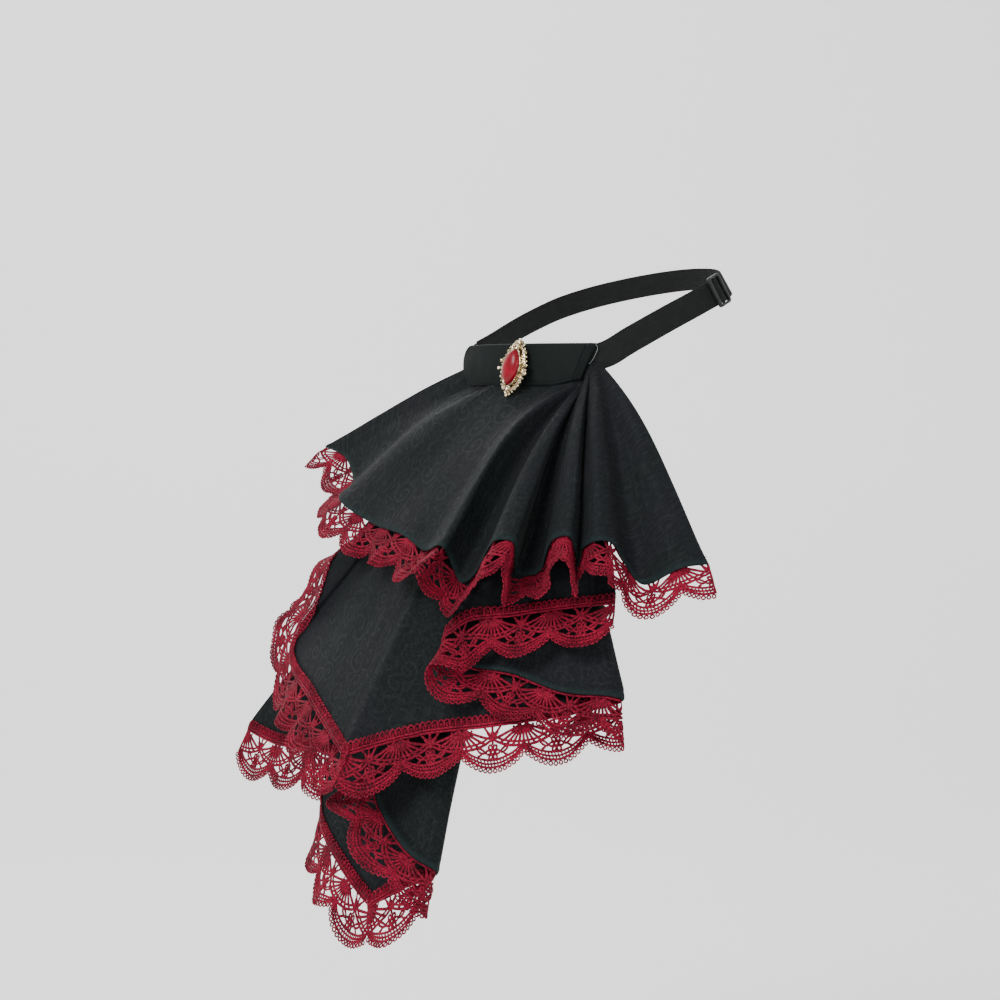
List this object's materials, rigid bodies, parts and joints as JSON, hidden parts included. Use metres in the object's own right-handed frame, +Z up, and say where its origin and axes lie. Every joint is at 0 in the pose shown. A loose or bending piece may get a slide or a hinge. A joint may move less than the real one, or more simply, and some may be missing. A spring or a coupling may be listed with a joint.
{
  "type": "detachable jabot collar",
  "caption": "Detachable jabot collar: a satin neck band with a strap and brooch, and tiers of gathered black cloth edged with scalloped red lace.",
  "frame": {"origin": "centre of the neck loop, half way between the band and the back of the strap", "axes": "+Z up along the wearer, -Y to the wearer's front, +X to the wearer's left"},
  "size_m": [0.3593, 0.2804, 0.3779],
  "materials": {
    "satin": "black satin, soft sheen",
    "strap": "black woven elastic, matte",
    "clasp": "black, moulded",
    "slider": "black, moulded, semi-gloss",
    "setting": "gold-coloured filigree, polished high spots",
    "stone": "red cabochon, glossy",
    "cloth": "black tone-on-tone jacquard, matte",
    "lace": "crimson guipure lace, matte thread"
  },
  "bodies": {
    "root": {"neck_band": "satin", "neck_strap": "strap", "strap_clasp": "clasp", "strap_slider": "slider", "brooch_setting": "setting", "brooch_stone": "stone", "upper_ruffle": "cloth", "middle_cascade": "cloth", "lower_cascade": "cloth", "upper_lace": "lace", "middle_lace": "lace", "lower_lace": "lace"}
  },
  "joints": []
}
